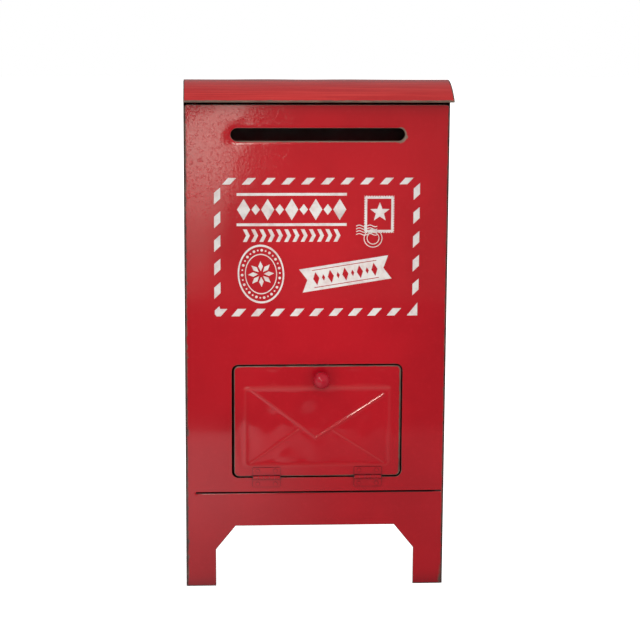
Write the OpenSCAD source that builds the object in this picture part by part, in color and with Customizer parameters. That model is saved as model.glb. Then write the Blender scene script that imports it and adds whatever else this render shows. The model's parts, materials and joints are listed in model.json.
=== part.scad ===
// Sheet-metal post box money box: a slotted tin case on four angle legs,
// with an arched lid hinged at the back and a drop-down door hinged at the front.
// The front faces -Y. The origin is on the floor under the middle of the whole object,
// which the lid's overhang, the knob and the rear hinges put a little off the case's middle.

/* [Body] */
// Width of the case
body_w = 250; // [240:1:280]
// Depth of the case
body_d = 98; // [90:1:120]
// Height of the front panel
front_h = 470; // [460:1:500]
// Height of the back panel's top edge, where the lid's skirt begins
back_h = 460; // [450:1:465]
// Thickness of the sheet
sheet_t = 0.6; // [0.5:0.1:1]
// Width of the flanges that join the panels
flange_w = 8; // [6:1:10]
// Depth of the turned-in edge along the tops of the front and back panels
return_d = 6; // [4:1:8]
// Radius of the front panel's top corners
shoulder_r = 4; // [2:0.5:6]

/* [Legs] */
// Height of the apron's lower edge
apron_z = 60.5; // [50:0.5:70]
// Width of a front leg
leg_w = 29; // [24:1:34]
// Depth of a side leg
side_leg_d = 18; // [14:1:24]
// Height at which a leg's bevel starts
bevel_z = 37; // [25:1:45]
// How far the bevel runs sideways on the front
bevel_w = 19; // [10:1:24]
// How far the bevel runs sideways on the sides
side_bevel_w = 11; // [6:1:14]

/* [Letter slot] */
// Width of the slot
slot_w = 164; // [140:1:180]
// Height of the slot
slot_h = 12; // [8:0.5:16]
// Height of the slot's centre line
slot_z = 441; // [425:1:450]
// How far the slot sits to the right of centre
slot_x = 0.9; // [0:0.1:2]

/* [Door] */
// Width of the door
door_w = 160.4; // [140:0.2:164]
// Height of the door
door_h = 109.2; // [100:0.2:120]
// Height of the door's lower edge
door_z = 110; // [106:0.5:116]
// How far the door sits to the right of centre
door_x = 1.9; // [0:0.1:3]
// Gap round the door
door_gap = 1.4; // [1:0.1:2]
// Corner radius of the door
door_r = 5; // [3:0.5:8]
// Width of the door's folded hem
hem_w = 4; // [3:0.5:4.2]

/* [Knob] */
// Radius of the ball
knob_r = 8; // [6:0.5:9]
// Distance from the door's face to the ball's centre
knob_reach = 13.5; // [12:0.5:16]
// Height of the knob's axis
knob_z = 207.8; // [200:0.2:209]
// How far the knob sits to the right of centre
knob_x = 5; // [0:0.5:6]

/* [Lid] */
// Width of the lid
lid_w = 254; // [252:0.5:262]
// How far the lid sits to the right of centre
lid_x = 1.3; // [0:0.1:1.3]
// How far the eave stands out in front of the case
eave_d = 8; // [5:0.5:12]
// Height of the eave, where the arch starts
eave_z = 473.4; // [472:0.2:476]
// Rise of the arch above the eave
lid_rise = 15.2; // [12:0.2:20]
// Radius of the curled edge along the eave
curl_r = 1.2; // [0.9:0.1:1.5]

/* [Hinges] */
// Length of a hinge
hinge_l = 26; // [20:1:30]
// Width of one leaf, measured from the pin
leaf_w = 9.5; // [8:0.5:10]
// Thickness of a leaf
leaf_t = 0.8; // [0.6:0.1:1]
// Outer radius of a knuckle
knuckle_r = 1.6; // [1.4:0.1:1.8]
// Radius of the pin
pin_r = 0.9; // [0.7:0.05:1]
// Distance from the middle of the door to the middle of each door hinge
door_hinge_x = 49; // [40:1:60]
// Distance from the middle of the lid to the middle of each lid hinge
lid_hinge_x = 80; // [60:1:95]

/* [Hidden] */
$fn = 64;

left = [-1];
right = [1];
both = [-1, 1];
enamel = "crimson";
bare_steel = "silver";
far = 400;                           // longer than anything it cuts
cut = 0.5;                           // how far a cutter runs past a face

// The modules draw everything round the case's own middle; in_place() then moves it.
front_y = -body_d / 2;               // outer face of the front panel
back_y = body_d / 2;                 // outer face of the back panel
floor_z = 93.5;                      // top of the floor panel
slit_h = 1.4;                        // slit in the front panel for the floor's tongue
slit_left = -115.4;
slit_right = 122.6;
tongue_w = 230;                      // the floor's tongue, between the side panels' flanges
tongue_set_back = 0.1;
floor_flange_h = 8;

// The lid is an arc of a circle from the eave to the back panel's face.
lid_chord = body_d + eave_d;
lid_r = (pow(lid_chord / 2, 2) + pow(lid_rise, 2)) / (2 * lid_rise);
lid_cy = front_y - eave_d + lid_chord / 2;
lid_cz = eave_z + lid_rise - lid_r;
lid_hem_w = 5;
lid_clearance = 0.4;                 // between the lid and the side panels under it
side_top_r = lid_r - 2 * sheet_t - lid_clearance;

// Both pairs of hinges lie on the outside, with their pins level with the gap they cross.
pin_out = knuckle_r + 0.1;           // pin axis in front of the sheet's outer face
door_pin_z = door_z - door_gap / 2;
skirt_gap = 1.4;
lid_pin_z = back_h + skirt_gap / 2;
knuckles = 5;
knuckle_gap = 0.25;
knuckle_l = (hinge_l - (knuckles - 1) * knuckle_gap) / knuckles;
pin_play = 0.05;
leaf_clear = 0.3;                    // between a leaf and the other leaf's knuckles
pin_head_r = 1.35;
pin_head_l = 0.5;
rivet_r = 1;
rivet_play = 0.05;
rivet_head_r = 1.75;
rivet_head_h = 0.65;
rivet_tail_r = 1.5;
rivet_tail_h = 0.5;
rivet_out = 6.5;                     // rivet row's distance from the pin
rivet_dx = 8.5;                      // rivets' distance from the middle of the hinge

screw_r = 1.5;
screw_play = 0.1;
screw_head_r = 3;
screw_head_h = 1.6;
washer_r = 4;
washer_t = 0.6;
bore_depth = 11;
knob_base_r = 5;
knob_base_h = 1.2;
knob_neck_r = 3.4;

bracket_t = 0.8;
bracket_w = 22;
bracket_tab_h = 12;                  // part welded behind the front panel
bracket_drop_h = 6.2;                // part that holds the magnet behind the door
magnet_w = 18;
magnet_h = 5.4;
magnet_t = 3.6;
magnet_gap = 0.3;                    // between the magnet and the closed door's hem
magnet_y = front_y + 2 * sheet_t + magnet_gap;

case_x = -lid_x;
case_y = (knob_reach + knob_r - pin_out - knuckle_r) / 2;

door_top_z = door_z + door_h;
open_w = door_w + 2 * door_gap;
open_h = door_h + 2 * door_gap;
open_r = door_r + door_gap;

// ---------- outlines ----------

// A rectangle with round corners, standing on y = 0 and centred on x = 0.
module round_rect(w, h, r) {
    translate([-w / 2, r]) square([w, h - 2 * r]);
    translate([-w / 2 + r, 0]) square([w - 2 * r, h]);
    for (x = [-w / 2 + r, w / 2 - r], y = [r, h - r]) translate([x, y]) circle(r);
}

// The gap between two legs: straight at the feet, then bevelled in to the apron.
module leg_gap(w, bevel) {
    polygon([
        [-w / 2, -cut], [w / 2, -cut], [w / 2, bevel_z],
        [w / 2 - bevel, apron_z], [-w / 2 + bevel, apron_z], [-w / 2, bevel_z]
    ]);
}

// A sheet standing across Y, cut from a 2D outline drawn in X and Z, with its front at y.
module upright_sheet(y, t) {
    translate([0, y + t, 0]) rotate([90, 0, 0]) linear_extrude(t) children();
}

// Holes for a hinge's two rivets, through the sheet whose outer face is at y.
module rivet_holes(x, y, z) {
    for (dx = [-rivet_dx, rivet_dx])
        translate([x + dx, y, z]) rotate([90, 0, 0])
            cylinder(r = rivet_r + rivet_play, h = 4, center = true);
}

// ---------- case ----------

module front_outline() {
    difference() {
        union() {
            translate([-body_w / 2, 0]) square([body_w, front_h - shoulder_r]);
            translate([-body_w / 2 + shoulder_r, 0]) square([body_w - 2 * shoulder_r, front_h]);
            for (x = [-body_w / 2 + shoulder_r, body_w / 2 - shoulder_r])
                translate([x, front_h - shoulder_r]) circle(shoulder_r);
        }
        translate([slot_x, slot_z - slot_h / 2]) {
            translate([-slot_w / 2 + slot_h / 2, 0]) square([slot_w - slot_h, slot_h]);
            for (x = [-slot_w / 2 + slot_h / 2, slot_w / 2 - slot_h / 2])
                translate([x, slot_h / 2]) circle(slot_h / 2);
        }
        translate([door_x, door_z - door_gap]) round_rect(open_w, open_h, open_r);
        translate([slit_left, floor_z - sheet_t]) square([slit_right - slit_left, slit_h]);
        leg_gap(body_w - 2 * leg_w, bevel_w);
    }
}

module front_panel() {
    color(enamel) {
        difference() {
            upright_sheet(front_y, sheet_t) front_outline();
            for (side = both)
                rivet_holes(door_x + side * door_hinge_x, front_y, door_pin_z - rivet_out);
        }
        translate([-body_w / 2 + shoulder_r, front_y + sheet_t / 2, front_h - sheet_t])
            cube([body_w - 2 * shoulder_r, return_d, sheet_t]);
    }
}

// The side's outline in Y and Z: an arched top that follows the lid, and two legs.
module side_outline() {
    inner_d = body_d - 2 * sheet_t;
    difference() {
        union() {
            translate([-inner_d / 2, 0]) square([inner_d, back_h]);
            intersection() {
                translate([-inner_d / 2, back_h - cut])
                    square([inner_d - lid_clearance, eave_z + lid_rise - back_h]);
                translate([lid_cy, lid_cz]) circle(side_top_r, $fn = 200);
            }
        }
        leg_gap(body_d - 2 * side_leg_d, side_bevel_w);
    }
}

// side is -1 for the left panel and 1 for the right one.
module side_panel(side) {
    x = side * body_w / 2 - (side > 0 ? sheet_t : 0);
    flange_x = side > 0 ? body_w / 2 - flange_w : -body_w / 2;
    color(enamel) {
        translate([x, 0, 0]) rotate([90, 0, 90]) linear_extrude(sheet_t) side_outline();
        translate([flange_x, front_y + sheet_t, 0]) cube([flange_w, sheet_t, front_h - return_d]);
        translate([flange_x, back_y - 2 * sheet_t, 0]) cube([flange_w, sheet_t, back_h - return_d]);
    }
}

module back_panel() {
    color(enamel) {
        difference() {
            translate([-body_w / 2, back_y - sheet_t, apron_z])
                cube([body_w, sheet_t, back_h - apron_z]);
            for (side = both)
                rivet_holes(side * lid_hinge_x, back_y, lid_pin_z - rivet_out);
        }
        translate([-body_w / 2 + flange_w, back_y - return_d, back_h - sheet_t])
            cube([body_w - 2 * flange_w, return_d - sheet_t / 2, sheet_t]);
    }
}

// A tray turned upside down, with a tongue that shows in the front panel's slit.
module floor_panel() {
    w = body_w - 2 * sheet_t;
    y0 = front_y + 2 * sheet_t;
    y1 = back_y - 2 * sheet_t;
    color(enamel) {
        translate([-w / 2, y0, floor_z - sheet_t]) cube([w, y1 - y0, sheet_t]);
        translate([-tongue_w / 2, front_y + tongue_set_back, floor_z - sheet_t])
            cube([tongue_w, y0 - front_y, sheet_t]);
        for (x = [-w / 2, w / 2 - sheet_t])
            translate([x, y0, floor_z - floor_flange_h])
                cube([sheet_t, y1 - y0, floor_flange_h - sheet_t / 2]);
        translate([-w / 2, y1 - sheet_t, floor_z - floor_flange_h])
            cube([w, sheet_t, floor_flange_h - sheet_t / 2]);
    }
}

// A cranked strap behind the front panel: it holds the magnet just behind the closed door.
module catch_bracket() {
    tab_z = door_top_z + door_gap + 1;
    drop_y = magnet_y + magnet_t;
    color(bare_steel) translate([door_x - bracket_w / 2, 0, 0]) {
        translate([0, front_y + sheet_t, tab_z]) cube([bracket_w, bracket_t, bracket_tab_h]);
        translate([0, front_y + sheet_t, tab_z])
            cube([bracket_w, drop_y + bracket_t - front_y - sheet_t, bracket_t]);
        translate([0, drop_y, door_top_z - bracket_drop_h])
            cube([bracket_w, bracket_t, tab_z - door_top_z + bracket_drop_h + bracket_t / 2]);
    }
}

module catch_magnet() {
    color("dimgray")
        translate([door_x - magnet_w / 2, magnet_y, door_top_z - magnet_h - magnet_gap])
            cube([magnet_w, magnet_t, magnet_h]);
}

// ---------- hinges ----------
// A hinge is drawn with its pin along X through the origin and its leaves across Z, and
// with the sheets that it joins at y = pin_out. dir turns a leaf up (1) or down (-1).

module leaf(own, dir) {
    difference() {
        union() {
            translate([-hinge_l / 2, pin_out - leaf_t, dir > 0 ? knuckle_r + leaf_clear : -leaf_w])
                cube([hinge_l, leaf_t, leaf_w - knuckle_r - leaf_clear]);
            for (i = own) translate([-hinge_l / 2 + i * (knuckle_l + knuckle_gap), 0, 0]) {
                rotate([0, 90, 0]) cylinder(r = knuckle_r, h = knuckle_l);
                translate([0, pin_out - leaf_t, dir > 0 ? 0.4 : -knuckle_r - 2 * leaf_clear])
                    cube([knuckle_l, leaf_t, knuckle_r + 2 * leaf_clear - 0.4]);
            }
        }
        rotate([0, 90, 0]) cylinder(r = pin_r + pin_play, h = far, center = true);
        for (x = [-rivet_dx, rivet_dx]) translate([x, pin_out, dir * rivet_out])
            rotate([90, 0, 0]) cylinder(r = rivet_r + rivet_play, h = 4, center = true);
    }
}

module fixed_leaf() {
    color(enamel) leaf([0, 2, 4], -1);
}

module moving_leaf() {
    color(enamel) leaf([1, 3], 1);
}

module hinge_pin() {
    color(bare_steel) rotate([0, 90, 0]) {
        cylinder(r = pin_r, h = hinge_l + pin_head_l, center = true);
        for (end = [-1, 1]) translate([0, 0, end * (hinge_l + pin_head_l) / 2])
            cylinder(r = pin_head_r, h = pin_head_l, center = true);
    }
}

// The two rivets of one leaf, through the leaf and the sheet behind it.
module leaf_rivets(dir) {
    grip = leaf_t + sheet_t;
    color(enamel) for (x = [-rivet_dx, rivet_dx])
        translate([x, pin_out - leaf_t, dir * rivet_out]) rotate([-90, 0, 0]) {
            translate([0, 0, -rivet_head_h]) cylinder(r = rivet_head_r, h = rivet_head_h);
            translate([0, 0, -rivet_head_h / 2]) cylinder(r = rivet_r, h = grip + rivet_head_h / 2);
            translate([0, 0, grip]) cylinder(r = rivet_tail_r, h = rivet_tail_h);
        }
}

// Puts a copy on the front at each side named, across the gap under the door.
module at_door_hinge(sides) {
    for (side = sides)
        translate([door_x + side * door_hinge_x, front_y - pin_out, door_pin_z]) children();
}

// Puts a copy on the back at each side named, across the gap under the lid's skirt.
module at_lid_hinge(sides) {
    for (side = sides)
        translate([side * lid_hinge_x, back_y + pin_out, lid_pin_z]) rotate([0, 0, 180]) children();
}

// ---------- door ----------

module door_outline() {
    translate([door_x, door_z]) round_rect(door_w, door_h, door_r);
}

// The sheet and the hem folded behind it on three sides. The hinge side has no hem.
module door_panel() {
    color(enamel) difference() {
        union() {
            upright_sheet(front_y, sheet_t) door_outline();
            upright_sheet(front_y + sheet_t / 2, sheet_t * 1.5) difference() {
                door_outline();
                translate([door_x - door_w / 2 + hem_w, door_z - cut])
                    square([door_w - 2 * hem_w, door_h - hem_w + cut]);
            }
        }
        for (side = both) rivet_holes(door_x + side * door_hinge_x, front_y, door_pin_z + rivet_out);
        translate([knob_x, front_y, knob_z]) rotate([90, 0, 0])
            cylinder(r = screw_r + screw_play, h = 4, center = true);
    }
}

module door_knob() {
    color(enamel) translate([knob_x, front_y, knob_z]) rotate([90, 0, 0]) difference() {
        union() {
            cylinder(r = knob_base_r, h = knob_base_h);
            cylinder(r = knob_neck_r, h = knob_reach);
            translate([0, 0, knob_reach]) sphere(knob_r);
        }
        translate([0, 0, -cut]) cylinder(r = screw_r + screw_play / 2, h = bore_depth + cut);
    }
}

module knob_screw() {
    color(bare_steel) translate([knob_x, front_y + sheet_t + washer_t, knob_z]) rotate([90, 0, 0]) {
        translate([0, 0, -screw_head_h]) cylinder(r = screw_head_r, h = screw_head_h);
        translate([0, 0, -screw_head_h / 2])
            cylinder(r = screw_r, h = screw_head_h / 2 + washer_t + sheet_t + bore_depth - 1);
    }
}

module knob_washer() {
    color(bare_steel) translate([knob_x, front_y + sheet_t + washer_t, knob_z]) rotate([90, 0, 0])
        difference() {
            cylinder(r = washer_r, h = washer_t);
            translate([0, 0, -cut]) cylinder(r = screw_r + screw_play, h = washer_t + 2 * cut);
        }
}

// ---------- lid ----------

// The arc between two radii, from the eave to the back panel's face, drawn in Y and Z.
module lid_arc(outer, inner) {
    intersection() {
        translate([lid_cy, lid_cz]) difference() {
            circle(outer, $fn = 200);
            circle(inner, $fn = 200);
        }
        translate([front_y - eave_d, eave_z - sheet_t / 2])
            square([lid_chord, lid_rise + 2 * sheet_t]);
    }
}

module along_x(x, w) {
    translate([x, 0, 0]) rotate([90, 0, 90]) linear_extrude(w) children();
}

module lid_shell() {
    x0 = lid_x - lid_w / 2;
    skirt_z = back_h + skirt_gap;
    color(enamel) difference() {
        union() {
            along_x(x0, lid_w) lid_arc(lid_r, lid_r - sheet_t);
            for (x = [x0, x0 + lid_w - lid_hem_w])
                along_x(x, lid_hem_w) lid_arc(lid_r - sheet_t / 2, lid_r - 2 * sheet_t);
            translate([x0, front_y - eave_d + curl_r, eave_z - curl_r / 2]) rotate([0, 90, 0])
                cylinder(r = curl_r, h = lid_w);
            translate([x0, back_y - sheet_t, skirt_z])
                cube([lid_w, sheet_t, eave_z - skirt_z + sheet_t / 2]);
        }
        for (side = both) rivet_holes(side * lid_hinge_x, back_y, lid_pin_z + rivet_out);
    }
}

// ---------- assembly ----------

module in_place() {
    translate([case_x, case_y, 0]) children();
}

in_place() front_panel();
in_place() side_panel(-1);  // left_side_panel
in_place() side_panel(1);  // right_side_panel
in_place() back_panel();
in_place() floor_panel();
in_place() catch_bracket();
in_place() catch_magnet();
in_place() at_door_hinge(left) fixed_leaf();  // door_hinge_left_body_leaf
in_place() at_door_hinge(right) fixed_leaf();  // door_hinge_right_body_leaf
in_place() at_door_hinge(left) hinge_pin();  // door_hinge_left_pin
in_place() at_door_hinge(right) hinge_pin();  // door_hinge_right_pin
in_place() at_door_hinge(both) leaf_rivets(-1);  // door_hinge_body_rivets
in_place() at_lid_hinge(left) fixed_leaf();  // lid_hinge_left_body_leaf
in_place() at_lid_hinge(right) fixed_leaf();  // lid_hinge_right_body_leaf
in_place() at_lid_hinge(left) hinge_pin();  // lid_hinge_left_pin
in_place() at_lid_hinge(right) hinge_pin();  // lid_hinge_right_pin
in_place() at_lid_hinge(both) leaf_rivets(-1);  // lid_hinge_body_rivets
in_place() door_panel();
in_place() door_knob();
in_place() knob_screw();
in_place() knob_washer();
in_place() at_door_hinge(left) moving_leaf();  // door_hinge_left_door_leaf
in_place() at_door_hinge(right) moving_leaf();  // door_hinge_right_door_leaf
in_place() at_door_hinge(both) leaf_rivets(1);  // door_hinge_door_rivets
in_place() lid_shell();
in_place() at_lid_hinge(left) moving_leaf();  // lid_hinge_left_lid_leaf
in_place() at_lid_hinge(right) moving_leaf();  // lid_hinge_right_lid_leaf
in_place() at_lid_hinge(both) leaf_rivets(1);  // lid_hinge_lid_rivets
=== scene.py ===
import json
import math

import bmesh
import bpy
import numpy as np
from mathutils import Euler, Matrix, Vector
from mathutils.geometry import delaunay_2d_cdt


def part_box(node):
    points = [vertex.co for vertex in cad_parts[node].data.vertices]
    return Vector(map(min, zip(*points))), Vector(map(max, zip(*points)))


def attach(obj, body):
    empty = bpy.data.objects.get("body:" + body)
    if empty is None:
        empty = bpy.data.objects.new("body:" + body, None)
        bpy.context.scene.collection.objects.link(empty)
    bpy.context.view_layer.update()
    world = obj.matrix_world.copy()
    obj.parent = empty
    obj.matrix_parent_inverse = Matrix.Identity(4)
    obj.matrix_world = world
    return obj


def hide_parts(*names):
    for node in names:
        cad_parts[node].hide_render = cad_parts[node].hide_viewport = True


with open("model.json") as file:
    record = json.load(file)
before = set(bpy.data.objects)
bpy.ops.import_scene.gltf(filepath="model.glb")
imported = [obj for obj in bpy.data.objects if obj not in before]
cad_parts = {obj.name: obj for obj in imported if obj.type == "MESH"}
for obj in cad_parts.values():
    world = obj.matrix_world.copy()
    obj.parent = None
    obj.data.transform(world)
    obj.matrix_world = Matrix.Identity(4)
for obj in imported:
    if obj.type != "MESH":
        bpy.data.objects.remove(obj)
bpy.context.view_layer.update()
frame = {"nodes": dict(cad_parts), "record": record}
nodes = frame["nodes"]
MM = 0.001

# ---------- where the case is, from the frame ----------

front_lo, front_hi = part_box("front_panel")
back_lo, back_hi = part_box("back_panel")
left_lo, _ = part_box("left_side_panel")
_, right_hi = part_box("right_side_panel")
door_lo, door_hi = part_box("door_panel")
lid_lo, lid_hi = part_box("lid_shell")
knob_lo, knob_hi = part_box("door_knob")

FRONT_Y = front_lo.y
FRONT_TOP = front_hi.z - 1.1 * MM
BACK_Y = back_hi.y
CASE_X = (front_lo.x + front_hi.x) / 2
SHEET = 0.6 * MM

# ---------- sizes of cut-outs, folds and hems, as in the CAD model ----------

LEG_W = 29 * MM
SIDE_LEG_D = 18 * MM
APRON_Z = 60.5 * MM
BEVEL_Z = 37 * MM
BEVEL_W = 19 * MM
SIDE_BEVEL_W = 11 * MM
SHOULDER_R = 4 * MM
SLOT_W = 164 * MM
SLOT_H = 12 * MM
SLOT_X = CASE_X + 0.9 * MM
SLOT_Z = 441 * MM
DOOR_GAP = 1.4 * MM
DOOR_R = 5 * MM
SLIT_LEFT = CASE_X - 115.4 * MM
SLIT_RIGHT = CASE_X + 122.6 * MM
SLIT_LO = 93.2 * MM
SLIT_HI = 94.8 * MM
FLANGE_W = 8 * MM
RETURN_D = 6 * MM
DOOR_HEM = 4 * MM
LID_HEM = 5 * MM
LID_CLEARANCE = 0.4 * MM
EAVE_Z = 473.4 * MM
LID_RISE = 15.2 * MM
CURL_R = 1.2 * MM
EDGE_ROUND = 0.12 * MM


# ---------- outlines and triangles in 2D ----------

def arc(centre, radius, start_deg, end_deg, steps=8):
    angles = np.radians(np.linspace(start_deg, end_deg, steps + 1))
    return [(centre[0] + radius * math.cos(a), centre[1] + radius * math.sin(a)) for a in angles]


def rounded_rect(lo, hi, radius, steps=8):
    corners = ((hi[0] - radius, lo[1] + radius, -90), (hi[0] - radius, hi[1] - radius, 0),
               (lo[0] + radius, hi[1] - radius, 90), (lo[0] + radius, lo[1] + radius, 180))
    points = []
    for u, v, start in corners:
        points += arc((u, v), radius, start, start + 90, steps)
    return points


def resample(loop, pitch):
    """The same closed loop, with no stretch longer than pitch."""
    points = []
    for a, b in zip(loop, loop[1:] + loop[:1]):
        a, b = np.array(a), np.array(b)
        count = max(1, math.ceil(np.linalg.norm(b - a) / pitch - 1e-6))
        points += [tuple(a + (b - a) * i / count) for i in range(count)]
    return points


def inset(loop, distance):
    """The loop moved to its left by distance, corners kept sharp: inwards for an anticlockwise loop."""
    p = np.array(loop)
    before = p - np.roll(p, 1, axis=0)
    after = np.roll(p, -1, axis=0) - p
    before /= np.maximum(np.linalg.norm(before, axis=1), 1e-9)[:, None]
    after /= np.maximum(np.linalg.norm(after, axis=1), 1e-9)[:, None]
    n0 = np.stack([-before[:, 1], before[:, 0]], axis=1)
    n1 = np.stack([-after[:, 1], after[:, 0]], axis=1)
    scale = 1 / np.maximum(1 + (n0 * n1).sum(axis=1), 0.4)
    return [tuple(q) for q in p + distance * (n0 + n1) * scale[:, None]]


def parity(points, loops):
    """True for each point inside the loops by the even-odd rule."""
    p = np.asarray(points, float)
    odd = np.zeros(len(p), bool)
    for loop in loops:
        a = np.array(loop)
        b = np.roll(a, -1, axis=0)
        for (u0, v0), (u1, v1) in zip(a, b):
            if v0 == v1:
                continue
            crosses = (p[:, 1] > min(v0, v1)) & (p[:, 1] <= max(v0, v1))
            at = u0 + (p[:, 1] - v0) * (u1 - u0) / (v1 - v0)
            odd ^= crosses & (p[:, 0] < at)
    return odd


def line_distance(points, a, b):
    """Distance from each point to the stretch a-b."""
    p = np.asarray(points, float)
    a, b = np.array(a, float), np.array(b, float)
    along = b - a
    t = np.clip(((p - a) @ along) / max(along @ along, 1e-18), 0, 1)
    return np.linalg.norm(p - a - t[:, None] * along, axis=1)


def loop_distance(points, loop):
    """Distance from each point to the nearest stretch of a closed loop."""
    best = np.full(len(points), np.inf)
    for a, b in zip(loop, loop[1:] + loop[:1]):
        best = np.minimum(best, line_distance(points, a, b))
    return best


def lattice(lo, hi, pitch):
    """Points in staggered rows over a rectangle."""
    rows = np.arange(lo[1] + pitch / 2, hi[1], pitch * 0.866)
    return np.array([(u, v) for i, v in enumerate(rows)
                     for u in np.arange(lo[0] + pitch * (0.25 + 0.5 * (i % 2)), hi[0], pitch)])


def triangulate(loops, extra):
    """Points and triangles that fill the loops by the even-odd rule, through the extra points too."""
    points, edges = [], []
    for loop in loops:
        first = len(points)
        points += loop
        edges += [(first + i, first + (i + 1) % len(loop)) for i in range(len(loop))]
    points += [tuple(p) for p in extra]
    flat, _, faces, *_ = delaunay_2d_cdt([Vector(p) for p in points], edges, [], 0, 1e-7)
    flat = np.array([tuple(p) for p in flat])
    faces = np.array([tuple(f) for f in faces])
    middles = flat[faces].mean(axis=1)
    return flat, faces[parity(middles, loops)]


# ---------- meshes ----------

def add_object(name, data):
    obj = bpy.data.objects.new(name, data)
    bpy.context.scene.collection.objects.link(obj)
    return obj


def mesh_object(name, points, faces, smooth=True):
    mesh = bpy.data.meshes.new(name)
    mesh.from_pydata([tuple(p) for p in points], [], [tuple(int(i) for i in f) for f in faces],
                     shade_flat=not smooth)
    mesh.validate()
    return add_object(name, mesh)


def set_attribute(obj, name, values):
    layer = obj.data.attributes.new(name, "FLOAT", "POINT")
    layer.data.foreach_set("value", np.asarray(values, np.float32))


def round_edges(obj, width, sharpest):
    """Rounds the edges that turn by more than sharpest degrees."""
    bevel = obj.modifiers.new("round", "BEVEL")
    bevel.width = width
    bevel.segments = 2
    bevel.limit_method = "ANGLE"
    bevel.angle_limit = math.radians(sharpest)


def give_thickness(obj):
    """Makes the surface a sheet whose outer face stays where it is, with its cut edges rounded.
    The inner face takes the object's second material."""
    solid = obj.modifiers.new("sheet", "SOLIDIFY")
    solid.thickness = SHEET
    solid.offset = -1
    solid.material_offset = 1
    round_edges(obj, EDGE_ROUND, 50)


class Plane:
    """A flat sheet's own axes: u to the right and v up, seen from outside, and out, away from the case."""

    def __init__(self, origin, u, v):
        self.origin, self.u, self.v = np.array(origin, float), np.array(u, float), np.array(v, float)
        self.out = np.cross(self.u, self.v)

    def place(self, flat, height):
        flat = np.asarray(flat, float)
        return (self.origin + flat[:, :1] * self.u + flat[:, 1:2] * self.v
                + np.asarray(height)[:, None] * self.out)


FRONT = Plane((0, FRONT_Y, 0), (1, 0, 0), (0, 0, 1))
BACK = Plane((0, BACK_Y, 0), (-1, 0, 0), (0, 0, 1))
LEFT = Plane((left_lo.x, 0, 0), (0, -1, 0), (0, 0, 1))
RIGHT = Plane((right_hi.x, 0, 0), (0, 1, 0), (0, 0, 1))


def waves(flat, seed, reach):
    """A smooth uneven height from -1 to 1, with bumps about reach across."""
    u, v = flat[:, 0] / reach, flat[:, 1] / reach
    total = np.zeros(len(flat))
    for i in range(1, 6):
        turn = seed * 1.7 + i * 2.399
        total += np.sin((u * math.cos(turn) + v * math.sin(turn)) * (1.3 + 0.37 * i) * 2 + seed + i * i)
    return total / 3.2


def fade(distance, start, end):
    """0 up to start, 1 from end, with a smooth rise between."""
    t = np.clip((distance - start) / (end - start), 0, 1)
    return t * t * (3 - 2 * t)


def bump_at(flat, centre, size, height):
    d2 = ((flat[:, 0] - centre[0]) / size[0]) ** 2 + ((flat[:, 1] - centre[1]) / size[1]) ** 2
    return height * np.exp(-d2)


def nearness(distance, reach):
    """1 at a distance of 0, falling to 0 at reach millimetres."""
    return np.clip(1 - distance / (reach * MM), 0, 1)


def sheet_piece(name, plane, loops, relief, wear, pitch, rings=(0.4, 1.2), extra=None, keep_off=1.8):
    """A sheet cut to loops: the first is its outside, anticlockwise, and the rest are holes, clockwise.
    relief gives each point's height over the plane, and wear how worn it is and how grey its bare metal."""
    loops = [resample(loop, pitch) for loop in loops]
    guides = [np.array(inset(loop, ring * MM)) for loop in loops for ring in rings]
    outer = np.array(loops[0])
    inner = lattice(outer.min(axis=0), outer.max(axis=0), pitch)
    inner = inner[parity(inner, loops)]
    for loop in loops:
        inner = inner[loop_distance(inner, loop) > keep_off * MM]
    if extra is not None:
        near = np.min([np.linalg.norm(inner - p, axis=1) for p in extra], axis=0)
        inner = np.vstack([inner[near > 0.8 * pitch], extra])
    flat, faces = triangulate(loops, np.vstack([*guides, inner]))
    obj = mesh_object(name, plane.place(flat, relief(flat)), faces)
    worn, grey = wear(flat)
    set_attribute(obj, "wear", worn)
    set_attribute(obj, "grey", grey)
    give_thickness(obj)
    return obj


def worn_outline(loop, reach):
    """A wear function for a sheet that is worn evenly round its outline, to dark metal."""
    def wear(flat):
        return nearness(loop_distance(flat, loop), reach), np.full(len(flat), 0.2)
    return wear


# ---------- materials ----------

class Nodes:
    """Adds nodes to a tree. Most methods return the socket that their node gives."""

    def __init__(self, tree):
        self.tree = tree

    def feed(self, socket, value):
        if isinstance(value, bpy.types.NodeSocket):
            self.tree.links.new(value, socket)
        else:
            socket.default_value = value

    def add(self, kind, inputs=(), **settings):
        """A new node. inputs pairs its sockets' names or numbers with a value or another node's socket."""
        node = self.tree.nodes.new(kind)
        for key, value in settings.items():
            setattr(node, key, value)
        for key, value in dict(inputs).items():
            self.feed(node.inputs[key], value)
        return node

    def math(self, operation, *values):
        return self.add("ShaderNodeMath", enumerate(values), operation=operation).outputs[0]

    def product(self, first, *others):
        for other in others:
            first = self.math("MULTIPLY", first, other)
        return first

    def sum(self, first, *others):
        for other in others:
            first = self.math("ADD", first, other)
        return first

    def spread(self, value, low, high, to_low=0.0, to_high=1.0, step="SMOOTHSTEP"):
        """Carries value's stretch from low to high over to the one from to_low to to_high."""
        ends = {"From Min": low, "From Max": high, "To Min": to_low, "To Max": to_high}
        node = self.add("ShaderNodeMapRange", {"Value": value, **ends}, interpolation_type=step)
        return node.outputs["Result"]

    def axes(self, place):
        return self.add("ShaderNodeSeparateXYZ", {"Vector": place}).outputs


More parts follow.
